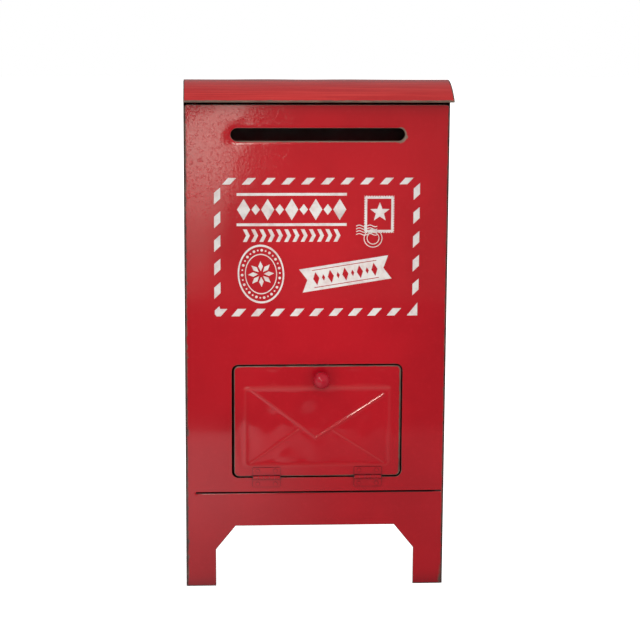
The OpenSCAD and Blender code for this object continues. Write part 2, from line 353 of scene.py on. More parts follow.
class Paint(Nodes):
    """Builds one material round its principled shader."""

    def __init__(self, name):
        self.material = bpy.data.materials.new(name)
        self.material.use_nodes = True
        super().__init__(self.material.node_tree)
        self.shader = self.tree.nodes["Principled BSDF"]
        self.place = self.add("ShaderNodeTexCoord").outputs["Object"]

    def stretched(self, scale):
        return self.add("ShaderNodeMapping", {"Vector": self.place, "Scale": scale}).outputs["Vector"]

    def noise(self, scale, detail=3, roughness=0.5, place=None):
        inputs = {"Vector": place or self.place, "Scale": scale, "Detail": detail, "Roughness": roughness}
        return self.add("ShaderNodeTexNoise", inputs).outputs["Fac"]

    def attribute(self, name):
        return self.add("ShaderNodeAttribute", attribute_name=name).outputs["Fac"]

    def corners(self, reach):
        """0 deep in a corner or under an edge, 1 in the open."""
        return self.add("ShaderNodeAmbientOcclusion", {"Distance": reach}, samples=6).outputs["AO"]

    def mix(self, share, a, b):
        inputs = {"Factor": share, "A": a, "B": b}
        return self.add("ShaderNodeMix", inputs, data_type="RGBA").outputs["Result"]

    def bump(self, height, depth, under=None):
        """depth is how tall a height of 1 stands, in metres."""
        inputs = {"Strength": 1.0, "Distance": depth, "Height": height}
        if under:
            inputs["Normal"] = under
        return self.add("ShaderNodeBump", inputs).outputs["Normal"]

    def finish(self, color, roughness, normal=None, **constants):
        self.feed(self.shader.inputs["Base Color"], color)
        self.feed(self.shader.inputs["Roughness"], roughness)
        if normal:
            self.feed(self.shader.inputs["Normal"], normal)
        for key, value in constants.items():
            self.shader.inputs[key.replace("_", " ").title().replace("Ior", "IOR")].default_value = value
        return self.material


WORN_BROWN = (0.05, 0.018, 0.014, 1)
WORN_GREY = (0.17, 0.112, 0.076, 1)


def streaked(paint, red, color, roughness, share):
    """Paler, duller streaks along the sheet, and the fine ridges that they follow."""
    lines = paint.noise(1, detail=6, roughness=0.65, place=paint.stretched((9, 420, 420)))
    wide = paint.noise(1, detail=3, place=paint.stretched((5, 90, 90)))
    both = paint.product(paint.spread(lines, 0.4, 0.66), paint.spread(wide, 0.35, 0.62))
    warm = (red[0] * 1.25, red[1] * 2.2, red[2] * 1.7, 1)
    color = paint.mix(paint.product(both, share), color, warm)
    roughness = paint.sum(roughness, paint.product(both, 0.16))
    return color, roughness, paint.bump(lines, 0.03 * MM)


def pimples(paint):
    """Coarse bumps, at the upper left only."""
    axes = paint.axes(paint.place)
    left = paint.spread(axes[0], -80 * MM, -10 * MM, 1, 0)
    high = paint.spread(axes[2], 340 * MM, 420 * MM)
    rough = paint.product(paint.noise(420, detail=2), 8)
    dots = paint.product(paint.spread(paint.noise(460, detail=0), 0.64, 0.76), 11)
    return paint.product(paint.sum(rough, dots), left, high)


def bare_share(paint, worn):
    """1 where the paint is gone: near the edges that the wear attribute marks, with a ragged border."""
    ragged = paint.product(paint.math("SUBTRACT", paint.noise(150, detail=5, roughness=0.7), 0.5), 1.3)
    chips = paint.spread(paint.noise(60, detail=3, roughness=0.6), 0.62, 0.7, 0, 0.45)
    reach = paint.attribute("wear")
    edge = paint.sum(reach, paint.product(reach, paint.sum(ragged, chips)))
    return paint.product(paint.spread(edge, 0.3, 0.72), worn)


def enamel(name, red, streaks=0.0, orange_peel=0.9, worn=1.0, coat=0.35, coarse=False):
    """Gloss red enamel on tinplate, a little uneven, worn through to dark metal near the edges, with
    painted shade in the corners. coarse is for the case, whose upper left was sprayed dry and stayed
    pimpled, and adds wide painted shade."""
    paint = Paint(name)
    broad = paint.noise(14, detail=4)
    deep = (red[0] * 0.86, red[1] * 0.8, red[2] * 0.85, 1)
    pale = (red[0] * 1.1, red[1] * 1.35 + 0.004, red[2] * 1.25 + 0.004, 1)
    color = paint.mix(paint.spread(broad, 0.3, 0.7), deep, (*red, 1))
    fine = paint.spread(paint.noise(260, detail=3), 0.52, 0.75)
    color = paint.mix(paint.product(fine, 0.25), color, pale)
    roughness = paint.spread(broad, 0.25, 0.75, 0.06, 0.1)
    normal = None
    if streaks:
        color, roughness, normal = streaked(paint, red, color, roughness, streaks)

    peel = paint.noise(330, detail=2, roughness=0.4)
    specks = paint.product(paint.spread(paint.noise(480, detail=1), 0.66, 0.74), 0.5)
    relief = paint.sum(peel, specks)
    if coarse:
        relief = paint.sum(relief, pimples(paint))
    normal = paint.bump(relief, orange_peel * 0.012 * MM, normal)
    normal = paint.bump(paint.noise(34, detail=2), 0.08 * MM, normal)

    bare = bare_share(paint, worn)
    blotch = paint.product(paint.math("SUBTRACT", paint.noise(90, detail=4), 0.5), 1.6)
    metal = paint.mix(paint.sum(paint.attribute("grey"), blotch), WORN_BROWN, WORN_GREY)
    # Painted highlight: a paler red where the door's attribute marks the pressed crests.
    color = paint.mix(paint.attribute("painted_sheen"), color, (red[0], 0.06, 0.058, 1))
    color = paint.mix(bare, color, metal)
    # Painted shade: the colour goes to near-black where the AO node finds corners, recesses and edges close
    # by.
    painted_corner_shade = paint.spread(paint.corners(2.2 * MM), 0.35, 0.95, 0.85, 0)
    color = paint.mix(painted_corner_shade, color, (0.045, 0.006, 0.008, 1))
    if coarse:
        # Painted shade: a wide, soft darkening wherever the AO node finds something within 16 mm, as under
        # the lid's eave and round the knob.
        painted_wide_shade = paint.spread(paint.corners(16 * MM), 0.5, 1.0, 0.4, 0)
        color = paint.mix(painted_wide_shade, color, (0.07, 0.002, 0.008, 1))
    roughness = paint.sum(roughness, paint.product(bare, 0.32))
    normal = paint.bump(paint.math("SUBTRACT", 1.0, bare), 0.04 * MM, normal)
    return paint.finish(color, roughness, normal, coat_weight=coat, coat_roughness=0.04)


def worn_steel(name, color, roughness, metallic=1.0):
    paint = Paint(name)
    grain = paint.noise(900, detail=3)
    dull = paint.noise(120, detail=4)
    dark = tuple(c * 0.55 for c in color)
    shade = paint.mix(paint.spread(dull, 0.35, 0.7), (*dark, 1), (*color, 1))
    rough = paint.spread(grain, 0.3, 0.7, roughness, roughness + 0.16)
    normal = paint.bump(grain, 0.008 * MM)
    return paint.finish(shade, rough, normal, metallic=metallic)


def ink(name, white):
    """Screen-printed white ink, thin in places."""
    paint = Paint(name)
    patchy = paint.spread(paint.noise(110, detail=5, roughness=0.65), 0.28, 0.6)
    pinkish = (white[0] * 0.86, white[1] * 0.72, white[2] * 0.72, 1)
    color = paint.mix(patchy, pinkish, (*white, 1))
    rough = paint.spread(paint.noise(300, detail=2), 0.3, 0.7, 0.34, 0.46)
    return paint.finish(color, rough, paint.bump(paint.noise(500), 0.01 * MM))


def painted_inside_shade(name, red):
    """Painted shade: a near-black, dull red on the sheets' inner faces, for the shade inside the closed
    case.
    """
    paint = Paint(name)
    thin = paint.spread(paint.noise(20, detail=5), 0.3, 0.7)
    color = paint.mix(thin, (red[0] * 0.6, red[1] * 0.6, red[2] * 0.6, 1), (*red, 1))
    rough = paint.spread(paint.noise(160, detail=3), 0.3, 0.7, 0.45, 0.6)
    return paint.finish(color, rough, paint.bump(paint.noise(400), 0.02 * MM))


RED = (0.47, 0.0042, 0.012)
case_enamel = enamel("case_enamel", RED, coarse=True)
lid_enamel = enamel("lid_enamel", (0.58, 0.02, 0.022), streaks=0.8)
knob_lacquer = enamel("knob_lacquer", (0.42, 0.006, 0.02), orange_peel=0.35, worn=0.0, coat=0.0)
# Painted shade: the inner faces take a near-black red for the shade inside the closed case.
inside_shade_red = painted_inside_shade("painted_inside_shade", (0.06, 0.005, 0.006))
zinc = worn_steel("zinc", (0.62, 0.6, 0.57), 0.3)
# Dull dark steel for the painted-over hinge pins; on the catch bracket its darkness is painted shade.
old_steel_and_gap_shade = worn_steel("old_steel_and_gap_shade", (0.16, 0.085, 0.08), 0.5, metallic=0.6)
ferrite = worn_steel("ferrite", (0.05, 0.048, 0.046), 0.6, metallic=0.2)
white_ink = ink("white_ink", (0.72, 0.68, 0.65))


def wear_coat(obj, material, inside=None):
    obj.data.materials.clear()
    obj.data.materials.append(material)
    if inside:
        obj.data.materials.append(inside)


# ---------- front panel ----------

def leg_gap_points(right, left, bevel):
    """The cut-out between two legs, from the right foot to the left one."""
    return [(right, 0), (right, BEVEL_Z), (right - bevel, APRON_Z), (left + bevel, APRON_Z),
            (left, BEVEL_Z), (left, 0)]


def front_outline():
    lo, hi, top = front_lo.x, front_hi.x, FRONT_TOP
    legs = leg_gap_points(hi - LEG_W, lo + LEG_W, BEVEL_W)
    return ([(lo, 0)] + legs[::-1] + [(hi, 0)]
            + arc((hi - SHOULDER_R, top - SHOULDER_R), SHOULDER_R, 0, 90)
            + arc((lo + SHOULDER_R, top - SHOULDER_R), SHOULDER_R, 90, 180))


def slot_outline():
    r = SLOT_H / 2
    half = SLOT_W / 2 - r
    return (arc((SLOT_X + half, SLOT_Z), r, 90, -90, 14) + arc((SLOT_X - half, SLOT_Z), r, 270, 90, 14))


DOOR_HOLE = rounded_rect((door_lo.x - DOOR_GAP - 0.8 * MM, door_lo.z - DOOR_GAP),
                         (door_hi.x + DOOR_GAP, door_hi.z + DOOR_GAP), DOOR_R + DOOR_GAP)[::-1]
SLIT = [(SLIT_LEFT, SLIT_LO), (SLIT_LEFT, SLIT_HI), (SLIT_RIGHT, SLIT_HI), (SLIT_RIGHT, SLIT_LO)]


def front_relief(flat):
    """Stamping and handling leave the sheet slightly uneven, most round the slot's left end."""
    from_side = np.minimum(flat[:, 0] - front_lo.x, front_hi.x - flat[:, 0])
    calm = fade(from_side, 2 * MM, 30 * MM) * fade(loop_distance(flat, DOOR_HOLE[::-1]), 4 * MM, 30 * MM)
    height = 0.05 * MM * waves(flat, 2.0, 70 * MM) * calm * fade(flat[:, 1], 100 * MM, 140 * MM)
    slot = slot_outline()
    from_slot = loop_distance(flat, slot)
    end = SLOT_X - SLOT_W / 2
    height += bump_at(flat, (end + 3 * MM, SLOT_Z - 1.5 * MM), (7.5 * MM, 7 * MM), -0.4 * MM)
    height += bump_at(flat, (end + 12 * MM, SLOT_Z + 8 * MM), (9 * MM, 4 * MM), -0.18 * MM)
    height += 0.02 * MM * waves(flat, 5.0, 12 * MM) * (1 - fade(from_slot, 2 * MM, 22 * MM))
    height -= 0.7 * MM * nearness(from_slot, 2.0) ** 2
    height -= 0.5 * MM * nearness(from_side, 1.3) ** 2
    under_slit = np.where(flat[:, 1] < SLIT_LO + 0.1 * MM, loop_distance(flat, SLIT), 1)
    height -= 0.35 * MM * nearness(under_slit, 1.3) ** 2
    return height


def front_wear(flat):
    """Both upright edges are worn most, then the slot's lower rim and right end and the door's opening.
    The left edge has a few chips, and the feet are rubbed along the floor."""
    u, v = flat[:, 0], flat[:, 1]
    upright = np.maximum(nearness(u - front_lo.x, 4.6), nearness(front_hi.x - u, 3.6))
    legs = nearness(loop_distance(flat, front_outline()), 0.8)
    foot = np.maximum(bump_at(flat, (front_hi.x, 0), (5.5 * MM, 24 * MM), 0.8), nearness(v, 1.8))
    for z, reach in ((420, 4), (300, 4), (229, 4), (154, 5), (46, 4), (31, 4)):
        foot = np.maximum(foot, bump_at(flat, (front_lo.x, z * MM), (reach * MM, 1.1 * reach * MM), 0.95))
    from_slot = loop_distance(flat, slot_outline())
    past_end = (u - SLOT_X) / (SLOT_W / 2 - SLOT_H / 2)
    reach = np.where(v < SLOT_Z, 2.4, 0.5) + 2.6 * fade(past_end, 0.98, 1.04)
    reach -= np.where(v < SLOT_Z, 1.4, 0) * (1 - fade(past_end, -1.06, -0.98))
    slot = nearness(from_slot, reach)
    from_hole = loop_distance(flat, DOOR_HOLE)
    low_right = fade(u - v, -0.06, -0.02)
    hole = nearness(from_hole, 0.9) * (0.55 + 0.45 * low_right)
    worn = np.maximum.reduce([upright, legs, foot, slot, hole])
    from_side = np.minimum(u - front_lo.x, front_hi.x - u)
    grey = np.where(slot > 0, 1.0, np.where(hole > 0, 0.4, 0.1 + 0.6 * fade(from_side, 1.2 * MM, 3 * MM)))
    return worn, grey


front_sheet = sheet_piece(
    "front_sheet", FRONT, [front_outline(), slot_outline(), DOOR_HOLE, SLIT], front_relief, front_wear,
    pitch=3 * MM, rings=(0.3, 0.7, 1.2, 2.0), keep_off=2.6)
wear_coat(front_sheet, case_enamel, inside=inside_shade_red)


def strip(name, lo, hi):
    """A plain flange, drawn as a thin closed box."""
    corners = [(x, y, z) for x in (lo[0], hi[0]) for y in (lo[1], hi[1]) for z in (lo[2], hi[2])]
    faces = [(0, 1, 3, 2), (4, 6, 7, 5), (0, 4, 5, 1), (2, 3, 7, 6), (0, 2, 6, 4), (1, 5, 7, 3)]
    return mesh_object(name, corners, faces, smooth=False)


def join(target, others):
    """Adds the others' meshes to target, modifiers applied, and removes them."""
    graph = bpy.context.evaluated_depsgraph_get()
    combined = bmesh.new()
    for obj in [target, *others]:
        done = obj.evaluated_get(graph)
        mesh = done.to_mesh()
        combined.from_mesh(mesh)
        done.to_mesh_clear()
    target.modifiers.clear()
    combined.to_mesh(target.data)
    combined.free()
    for obj in others:
        bpy.data.objects.remove(obj)


top_return = strip("top_return", (front_lo.x + SHOULDER_R, FRONT_Y + SHEET / 2, FRONT_TOP - SHEET),
                   (front_hi.x - SHOULDER_R, front_hi.y, FRONT_TOP))
join(front_sheet, [top_return])
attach(front_sheet, "case")
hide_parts("front_panel")


# ---------- side and back panels ----------

LID_CHORD = lid_hi.y - lid_lo.y
LID_R = ((LID_CHORD / 2) ** 2 + LID_RISE ** 2) / (2 * LID_RISE)
LID_CY = (lid_hi.y + lid_lo.y) / 2
LID_CZ = EAVE_Z + LID_RISE - LID_R
LID_HALF = math.degrees(math.asin((LID_CHORD / 2) / LID_R))
SIDE_TOP_R = LID_R - 2 * SHEET - LID_CLEARANCE


def side_outline(mirrored):
    """The side in its plane's own axes. mirrored is for the left side, whose u runs along -Y."""
    sign = -1 if mirrored else 1
    front = FRONT_Y + SHEET
    back = BACK_Y - SHEET
    top_back = back - LID_CLEARANCE
    top = [(y, LID_CZ + math.sqrt(SIDE_TOP_R ** 2 - (y - LID_CY) ** 2))
           for y in np.linspace(top_back, front, 40)]
    middle = (FRONT_Y + BACK_Y) / 2
    reach = (BACK_Y - FRONT_Y) / 2 - SIDE_LEG_D
    legs = leg_gap_points(middle + reach, middle - reach, SIDE_BEVEL_W)
    step = [(back, back_hi.z), (top_back, back_hi.z)]
    outline = [(front, 0)] + legs[::-1] + [(back, 0)] + step + top
    outline = [(sign * u, v) for u, v in outline]
    return outline[::-1] if mirrored else outline


def side_relief(seed):
    def relief(flat):
        u = np.abs(flat[:, 0] - flat[:, 0].mean())
        calm = fade(u.max() - u, 3 * MM, 30 * MM) * fade(flat[:, 1], 60 * MM, 160 * MM)
        return 0.35 * MM * waves(flat, seed, 90 * MM) * calm - 0.2 * MM * calm
    return relief


def side_sheet(name, plane, mirrored, node):
    outline = side_outline(mirrored)
    obj = sheet_piece(name, plane, [outline], side_relief(3.0 + mirrored), worn_outline(outline, 1.6),
                      4 * MM)
    lo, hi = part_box(node)
    flanges = [strip(name + "_front_flange", (lo.x, FRONT_Y + SHEET, 0),
                     (hi.x, FRONT_Y + 2 * SHEET, front_hi.z - RETURN_D)),
               strip(name + "_back_flange", (lo.x, BACK_Y - 2 * SHEET, 0),
                     (hi.x, BACK_Y - SHEET, back_hi.z - RETURN_D))]
    for flange in flanges:
        flange.data.polygons.foreach_set("material_index", [1] * len(flange.data.polygons))
    wear_coat(obj, case_enamel, inside=inside_shade_red)
    join(obj, flanges)
    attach(obj, "case")
    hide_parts(node)


side_sheet("left_side_sheet", LEFT, True, "left_side_panel")
side_sheet("right_side_sheet", RIGHT, False, "right_side_panel")


def back_relief(flat):
    from_edge = np.minimum(flat[:, 0] - flat[:, 0].min(), flat[:, 0].max() - flat[:, 0])
    calm = fade(from_edge, 3 * MM, 40 * MM) * fade(back_hi.z - flat[:, 1], 25 * MM, 60 * MM)
    return 0.4 * MM * waves(flat, 7.0, 95 * MM) * calm - 0.2 * MM * calm


def box_loop(lo, hi):
    return [(lo[0], lo[1]), (hi[0], lo[1]), (hi[0], hi[1]), (lo[0], hi[1])]


back_loop = box_loop((-back_hi.x, back_lo.z), (-back_lo.x, back_hi.z))
back_sheet = sheet_piece("back_sheet", BACK, [back_loop], back_relief, worn_outline(back_loop, 1.8), 5 * MM)
wear_coat(back_sheet, case_enamel, inside=inside_shade_red)
back_return = strip("back_return", (back_lo.x + FLANGE_W, back_lo.y, back_hi.z - SHEET),
                    (back_hi.x - FLANGE_W, BACK_Y - SHEET / 2, back_hi.z))
turned_up = strip("turned_up", (back_lo.x + SHEET, back_lo.y, back_hi.z - SHEET / 2),
                  (back_hi.x - SHEET, back_lo.y + 2 * SHEET, back_hi.z + 1.2 * MM))
join(back_sheet, [back_return, turned_up])
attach(back_sheet, "case")
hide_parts("back_panel")


# ---------- door ----------

ENVELOPE_LO = (CASE_X - 67.5 * MM, 120.5 * MM)
ENVELOPE_HI = (CASE_X + 71.0 * MM, 197 * MM)
FLAP_TIP = (CASE_X + 0.8 * MM, 147.9 * MM)
# Each fold's start and end, and its height and width in millimetres
FOLDS = [
    ((CASE_X - 60.5 * MM, 194.5 * MM), FLAP_TIP, 0.42, 1.3),
    (FLAP_TIP, (CASE_X + 66 * MM, 190.5 * MM), 0.62, 1.5),
    ((CASE_X - 62.2 * MM, 123.3 * MM), (CASE_X - 15.5 * MM, 156.6 * MM), 0.3, 1.3),
    ((CASE_X + 65.7 * MM, 123.3 * MM), (CASE_X + 16.5 * MM, 155.6 * MM), 0.2, 1.2),
]
ENVELOPE_BEAD = 0.34
ENVELOPE_BEAD_W = 2.6


def ridge(distance, height, width):
    """A pressed line: a rounded crest, height and width in millimetres."""
    return height * MM * np.exp(-(distance / (width * MM * 0.75)) ** 2)


def envelope_frame():
    return rounded_rect(ENVELOPE_LO, ENVELOPE_HI, 4 * MM, 5)


def door_relief(flat):
    """The pressed envelope, and the shallow dents that pressing left round it."""
    from_line = loop_distance(flat, envelope_frame())
    height = ridge(from_line, ENVELOPE_BEAD, ENVELOPE_BEAD_W)
    for a, b, tall, wide in FOLDS:
        from_fold = line_distance(flat, a, b)
        height = np.maximum(height, ridge(from_fold, tall, wide))
        from_line = np.minimum(from_line, from_fold)
    from_edge = loop_distance(flat, door_loop)
    calm = fade(from_edge, 1.5 * MM, 7 * MM)
    height += 0.2 * MM * waves(flat, 11.0, 24 * MM) * calm * fade(from_line, 0, 8 * MM)
    height += 0.2 * MM * waves(flat, 4.0, 60 * MM) * calm
    height -= 0.25 * MM * nearness(from_edge, 0.9) ** 2
    return height


def along_line(a, b, offsets, step):
    """Points beside the stretch a-b, at each offset from it."""
    a, b = np.array(a), np.array(b)
    length = np.linalg.norm(b - a)
    way = (b - a) / length
    side = np.array([-way[1], way[0]])
    ts = np.arange(0, length, step)
    return [a + way * t + side * o for t in ts for o in offsets]


door_loop = resample(rounded_rect((door_lo.x, door_lo.z), (door_hi.x, door_hi.z), DOOR_R), 2 * MM)
crest_points = []
for start, end, _, width in FOLDS:
    beside = np.array((0.25, 0.45, 0.65, 0.9, 1.2, 1.6))
    offsets = np.concatenate([-beside[::-1], [0], beside]) * width * MM
    crest_points += along_line(start, end, offsets, 1.6 * MM)


def door_wear(flat):
    """The door's edge is rubbed most at the right and along the top."""
    reach = 1.4 + 2.2 * fade(flat[:, 0], door_hi.x - 4 * MM, door_hi.x - 1 * MM)
    reach += 0.8 * fade(flat[:, 1], door_hi.z - 4 * MM, door_hi.z - 1 * MM)
    return nearness(loop_distance(flat, door_loop), reach), np.full(len(flat), 0.45)


def door_painted_sheen(flat):
    """Painted highlight: a paler red on the pressed lines' crests, most along the envelope's top, in place
    of their sheen.
    """
    top = line_distance(flat, (ENVELOPE_LO[0], ENVELOPE_HI[1]), ENVELOPE_HI)
    painted_sheen = np.maximum(0.45 * np.exp(-(top / (1.5 * MM)) ** 2),
                     0.2 * np.exp(-(loop_distance(flat, envelope_frame()) / (1.1 * MM)) ** 2))
    for a, b, *_ in FOLDS:
        painted_sheen = np.maximum(painted_sheen, 0.22 * np.exp(-(line_distance(flat, a, b) / (0.9 * MM)) ** 2))
    return painted_sheen


door_sheet = sheet_piece("door_sheet", FRONT, [door_loop], door_relief, door_wear,
                         pitch=1.25 * MM, rings=(0.3, 0.8), extra=np.array(crest_points), keep_off=1.4)
door_points = np.array([tuple(v.co) for v in door_sheet.data.vertices])
set_attribute(door_sheet, "painted_sheen", door_painted_sheen(door_points[:, [0, 2]]))
wear_coat(door_sheet, case_enamel, inside=inside_shade_red)
hem_y = door_lo.y + SHEET
hems = [strip("hem_left", (door_lo.x + 0.4 * MM, hem_y, door_lo.z + DOOR_R),
              (door_lo.x + DOOR_HEM, door_hi.y, door_hi.z - DOOR_R)),
        strip("hem_right", (door_hi.x - DOOR_HEM, hem_y, door_lo.z + DOOR_R),
              (door_hi.x - 0.4 * MM, door_hi.y, door_hi.z - DOOR_R)),
        strip("hem_top", (door_lo.x + DOOR_R, hem_y, door_hi.z - DOOR_HEM),
              (door_hi.x - DOOR_R, door_hi.y, door_hi.z - 0.4 * MM))]
join(door_sheet, hems)
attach(door_sheet, "door")
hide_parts("door_panel")


# ---------- lid ----------

def lid_profile():
    """The sheet's outer line in Y and Z: the curl under the eave, the arch and the skirt."""
    line = arc((lid_lo.y + CURL_R, EAVE_Z - CURL_R / 2), CURL_R, 420, 160, 21)
    line += arc((LID_CY, LID_CZ), LID_R, 90 + LID_HALF - 0.5, 90 - LID_HALF + 0.8, 59)
    line += [(lid_hi.y, z) for z in np.linspace(EAVE_Z - 0.9 * MM, back_hi.z + 0.3 * MM, 7)]
    return np.array(line)


def sweep(name, line, stations, height):
    """A sheet that carries line, in Y and Z, along X. height lifts each point off it."""
    way = np.gradient(line, axis=0)
    way /= np.linalg.norm(way, axis=1)[:, None]
    out = np.stack([-way[:, 1], way[:, 0]], axis=1)
    points, count = [], len(line)
    for x in stations:
        lifted = line + out * height(x, line)[:, None]
        points += [(x, y, z) for y, z in lifted]
    faces = [(i * count + j, (i + 1) * count + j, (i + 1) * count + j + 1, i * count + j + 1)
             for i in range(len(stations) - 1) for j in range(count - 1)]
    return mesh_object(name, points, faces)


def end_stations(lo, hi, pitch):
    near = np.array((0, 0.3, 0.8, 1.4, 2.2)) * MM
    middle = np.arange(lo + 4 * MM, hi - 4 * MM, pitch)
    return np.concatenate([lo + near, middle, hi - near[::-1]])


lid_line = lid_profile()
lid_left = lid_lo.x + 0.7 * MM
lid_stations = end_stations(lid_left, lid_hi.x, 5 * MM)


def lid_height(x, line):
    flat = np.stack([np.full(len(line), x), line[:, 0]], axis=1)
    calm = fade(line[:, 1] - EAVE_Z, 1 * MM, 6 * MM)
    return 0.16 * MM * waves(flat, 9.0, 60 * MM) * calm


lid_sheet = sweep("lid_sheet", lid_line, lid_stations, lid_height)
lid_points = np.array([tuple(v.co) for v in lid_sheet.data.vertices])
from_end = np.minimum(lid_points[:, 0] - lid_left, lid_hi.x - lid_points[:, 0])
wear_end = nearness(from_end, 2.0)
low_front = nearness(lid_points[:, 2] - EAVE_Z + 0.6 * MM, 1.9) * (lid_points[:, 1] < 0)
low_back = nearness(lid_points[:, 2] - back_hi.z, 1.4)
set_attribute(lid_sheet, "wear", np.maximum.reduce([wear_end, low_front, low_back]))
set_attribute(lid_sheet, "grey", np.where(low_front > 0, 0.8, 0.3))
give_thickness(lid_sheet)
wear_coat(lid_sheet, lid_enamel, inside=inside_shade_red)


def lid_hem(name, x0, x1):
    """The folded hem under one end of the lid."""
    half = LID_HALF - 0.8
    upper = arc((LID_CY, LID_CZ), LID_R - SHEET, 90 + half, 90 - half, 59)
    lower = arc((LID_CY, LID_CZ), LID_R - 2 * SHEET, 90 + half, 90 - half, 59)
    ring = upper + lower[::-1]
    count = len(ring)
    points = [(x, y, z) for x in (x0, x1) for y, z in ring]
    faces = [(i, (i + 1) % count, count + (i + 1) % count, count + i) for i in range(count)]
    side = count // 2
    faces += [(i, i + 1, count - 2 - i, count - 1 - i)[::-1] for i in range(side - 1)]
    faces += [(count + i, count + i + 1, 2 * count - 2 - i, 2 * count - 1 - i) for i in range(side - 1)]
    return mesh_object(name, points, faces, smooth=False)


join(lid_sheet, [lid_hem("lid_hem_left", lid_left + 0.3 * MM, lid_lo.x + LID_HEM),
                 lid_hem("lid_hem_right", lid_hi.x - LID_HEM, lid_hi.x - 0.3 * MM)])
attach(lid_sheet, "lid")
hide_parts("lid_shell")


# ---------- knob and small hardware ----------

def lathe(name, profile, centre):
    """Turns (distance out from the door, radius) pairs round the knob's axis, which points along -Y."""
    segments = 56
    points, faces = [], []
    for out, radius in profile:
        points += [(centre[0] + radius * math.cos(a), centre[1] - out, centre[2] + radius * math.sin(a))
                   for a in np.linspace(0, 2 * math.pi, segments, endpoint=False)]
    for i in range(len(profile) - 1):
        for j in range(segments):
            k = (j + 1) % segments
            near, far = i * segments, (i + 1) * segments
            faces.append((near + j, far + j, far + k, near + k))
    faces.append([(len(profile) - 1) * segments + j for j in range(segments)])
    return mesh_object(name, points, [f if len(f) > 4 else f[::-1] for f in faces])


KNOB_R = (knob_hi.x - knob_lo.x) / 2
KNOB_REACH = FRONT_Y - knob_lo.y - KNOB_R
knob_centre = ((knob_lo.x + knob_hi.x) / 2, FRONT_Y, (knob_lo.z + knob_hi.z) / 2)
knob_profile = [(0, 5 * MM), (0.8 * MM, 5 * MM), (1.2 * MM, 4.6 * MM), (1.7 * MM, 3.8 * MM)]
knob_profile += arc((KNOB_REACH, 0), KNOB_R, 154, 3, 33)
knob_ball = lathe("knob_ball", knob_profile, knob_centre)
wear_coat(knob_ball, knob_lacquer)
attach(knob_ball, "door")
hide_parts("door_knob")


def soften(node, body, material, width):
    """A copy of a CAD node with its edges rounded, in place of it."""
    original = nodes[node]
    copy = add_object(node + "_soft", original.data.copy())
    tidy = bmesh.new()
    tidy.from_mesh(copy.data)
    bmesh.ops.remove_doubles(tidy, verts=tidy.verts, dist=1e-6)
    bmesh.ops.dissolve_limit(tidy, angle_limit=math.radians(2), verts=tidy.verts, edges=tidy.edges)
    tidy.to_mesh(copy.data)
    tidy.free()
    copy.data.shade_smooth()
    round_edges(copy, width, 35)
    normals = copy.modifiers.new("normals", "WEIGHTED_NORMAL")
    normals.keep_sharp = True
    wear_coat(copy, material)
    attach(copy, body)
    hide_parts(node)


bodies = frame["record"]["behaviour"]["bodies"]
BODY_OF = {node: body for body, members in bodies.items() for node in members}
for node in sorted(nodes):
    if "leaf" in node or "rivets" in node:
        soften(node, BODY_OF[node], case_enamel, EDGE_ROUND)
    # The catch bracket's dark steel is painted shade, for its place deep in the gap behind the door.
    elif "pin" in node or node == "catch_bracket":
        soften(node, BODY_OF[node], old_steel_and_gap_shade, 0.1 * MM)
    elif node in ("knob_screw", "knob_washer"):
        soften(node, BODY_OF[node], zinc, 0.1 * MM)
wear_coat(nodes["catch_magnet"], ferrite)
# The floor panel inside the case takes the same painted shade red.
wear_coat(nodes["floor_panel"], inside_shade_red)


# ---------- printed decoration ----------

PRINT_LIFT = 0.05 * MM


def turned(loop, centre, degrees):
    c, s = math.cos(math.radians(degrees)), math.sin(math.radians(degrees))
    return [(centre[0] + (u - centre[0]) * c - (v - centre[1]) * s,
             centre[1] + (u - centre[0]) * s + (v - centre[1]) * c) for u, v in loop]


def circle(centre, radius, steps=40, squash=1.0):
    return [(centre[0] + radius * math.cos(a), centre[1] + squash * radius * math.sin(a))
            for a in np.linspace(0, 2 * math.pi, steps, endpoint=False)]


def stroke(points, width):
    """An open line drawn with an even width."""
    p = np.array(points, float)
    way = np.gradient(p, axis=0)
    way /= np.linalg.norm(way, axis=1)[:, None]
    side = np.stack([-way[:, 1], way[:, 0]], axis=1) * width / 2
    return [tuple(q) for q in p + side] + [tuple(q) for q in (p - side)[::-1]]


def star(centre, radius):
    corners = [(math.pi * i / 5, radius * (0.42 if i % 2 else 1)) for i in range(10)]
    return [(centre[0] + r * math.sin(a), centre[1] + r * math.cos(a)) for a, r in corners]


class Print:
    """Gathers flat shapes and turns them into one thin layer of ink on the front. Their points are in
    millimetres, from the case's middle and the floor."""

    def __init__(self):
        self.points, self.faces, self.count = [], [], 0

    def fill(self, *loops):
        """Fills the first loop, apart from the others, which are holes in it."""
        loops = [resample([(CASE_X + u * MM, v * MM) for u, v in loop], 5 * MM) for loop in loops]
        outer = np.array(loops[0])
        extra = lattice(outer.min(axis=0), outer.max(axis=0), 6 * MM)
        if len(extra):
            clear = parity(extra, loops)
            for loop in loops:
                clear &= loop_distance(extra, loop) > 1 * MM
            extra = extra[clear]
        flat, faces = triangulate(loops, extra)
        self.points.append(flat)
        self.faces.append(faces + self.count)
        self.count += len(flat)

    def make(self, name):
        flat = np.vstack(self.points)
        obj = mesh_object(name, FRONT.place(flat, front_relief(flat) + PRINT_LIFT), np.vstack(self.faces))
        wear_coat(obj, white_ink)
        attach(obj, "case")


